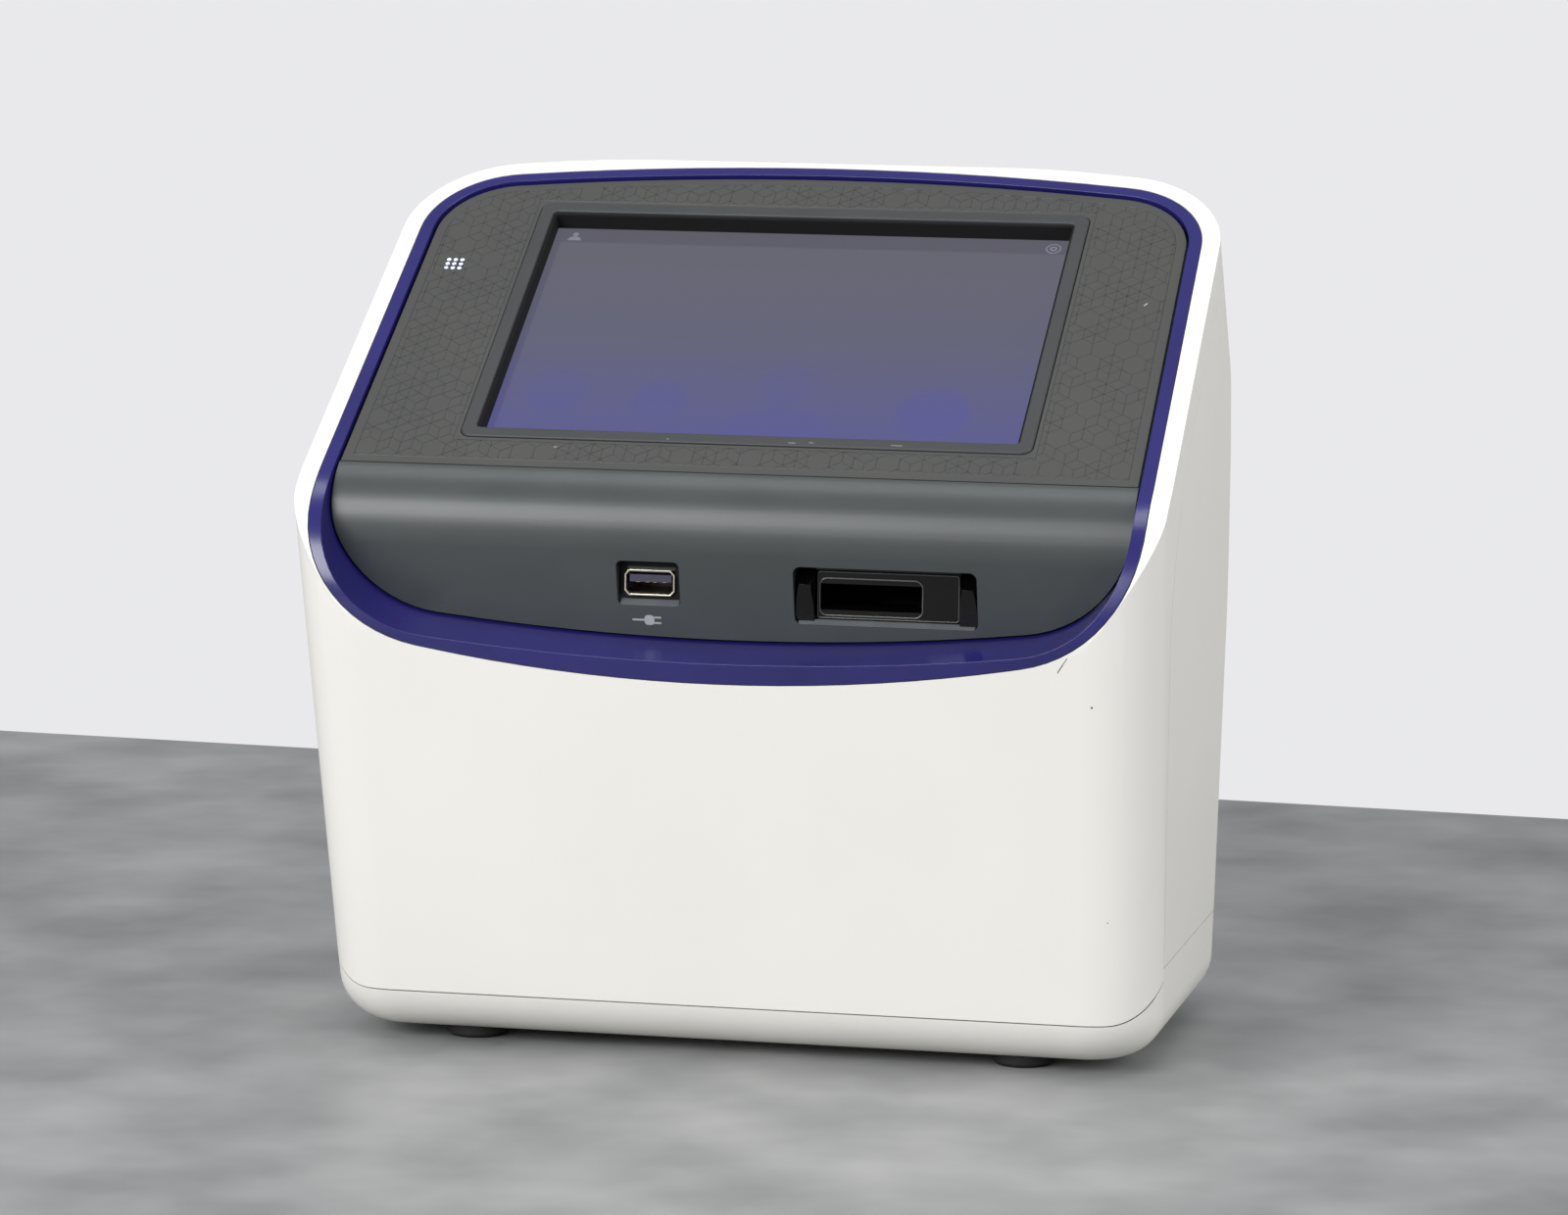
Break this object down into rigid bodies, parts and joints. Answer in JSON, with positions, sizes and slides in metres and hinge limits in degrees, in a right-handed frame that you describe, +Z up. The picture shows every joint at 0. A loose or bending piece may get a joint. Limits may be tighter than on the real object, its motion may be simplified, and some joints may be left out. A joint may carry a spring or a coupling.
{
  "type": "automated cell counter",
  "caption": "Bench cell counter: white housing with sloping touch screen, indigo trim ring, dark fascia with slide port and USB socket, and imaging optics inside.",
  "frame": {"origin": "on the table, under the middle of the housing", "axes": "+Z up, the front with the screen faces -Y, +X to the right seen from the front"},
  "size_m": [0.229, 0.1448, 0.229],
  "materials": {
    "white_housing": "satin warm white ABS blend",
    "indigo_trim": "satin indigo plastic",
    "dark_fascia": "fine textured dark grey plastic",
    "printed_overlay": "matt printed polycarbonate sheet",
    "black_plastic": "black moulded plastic",
    "screen_glass": "clear touch glass",
    "display_frame": "pressed metal display frame",
    "circuit_board": "green solder mask",
    "light_pipe": "clear acrylic",
    "socket_steel": "nickel plated steel",
    "tongue_plastic": "violet grey plastic",
    "gold_contact": "gold plated",
    "machined_aluminium": "machined and anodised",
    "ground_steel": "ground steel",
    "black_anodised": "black anodised aluminium",
    "sheet_steel": "zinc plated sheet steel",
    "lens_glass": "clear lens glass",
    "foot_rubber": "dark rubber",
    "screw_steel": "zinc plated steel"
  },
  "bodies": {
    "housing": {"front_shell": "white_housing", "rear_shell": "white_housing", "base_tray": "white_housing", "feet": "foot_rubber", "housing_screws": "screw_steel", "trim_ring": "indigo_trim", "fascia_bezel": "dark_fascia", "overlay_panel": "printed_overlay", "screen_lip": "dark_fascia", "touch_glass": "screen_glass", "display_module": "display_frame", "display_board": "circuit_board", "board_spacers": "screw_steel", "main_board": "circuit_board", "status_lights": "light_pipe", "light_board": "circuit_board", "usb_shell": "socket_steel", "usb_tongue": "tongue_plastic", "usb_contacts": "gold_contact", "usb_board": "circuit_board", "port_frame": "black_plastic", "stage_guide": "machined_aluminium", "bench_posts": "machined_aluminium", "chassis_plate": "sheet_steel", "lamp_house": "black_anodised", "condenser_lens": "lens_glass", "guide_rods": "ground_steel", "focus_motor": "black_anodised", "cube_rails": "ground_steel", "rail_blocks": "machined_aluminium", "camera_module": "black_anodised", "driver_board": "circuit_board", "power_supply": "sheet_steel", "power_inlet": "black_plastic", "inlet_pins": "socket_steel", "switch_body": "black_plastic"},
    "carriage": {"slide_carriage": "black_plastic"},
    "focus": {"focus_carriage": "machined_aluminium", "objective": "black_anodised"},
    "screw": {"focus_screw": "ground_steel"},
    "shuttle": {"cube_shuttle": "black_anodised", "light_cubes": "black_anodised"},
    "rocker": {"power_rocker": "black_plastic"}
  },
  "joints": [
    {"name": "carriage_slide", "type": "slide", "parent": "housing", "child": "carriage", "axis": [0, 1, 0], "range_m": [0, 0.006], "stiffness_N_per_m": 150, "springref_m": -0.002},
    {"name": "focus_turn", "type": "hinge", "parent": "housing", "child": "screw", "pos_m": [0.0369, 0.03, 0.06], "axis": [0, 0, 1], "range_deg": [-722, 722]},
    {"name": "focus_slide", "type": "slide", "parent": "housing", "child": "focus", "axis": [0, 0, 1], "range_m": [-0.004, 0.004]},
    {"name": "cube_slide", "type": "slide", "parent": "housing", "child": "shuttle", "axis": [1, 0, 0], "range_m": [0, 0.028]},
    {"name": "rocker_hinge", "type": "hinge", "parent": "housing", "child": "rocker", "pos_m": [-0.088, 0.07, 0.05], "axis": [1, 0, 0], "range_deg": [0, 18]}
  ],
  "couplings": [
    {"joint": "focus_turn", "follows": "focus_slide", "rad_per_m": 3141.6}
  ]
}
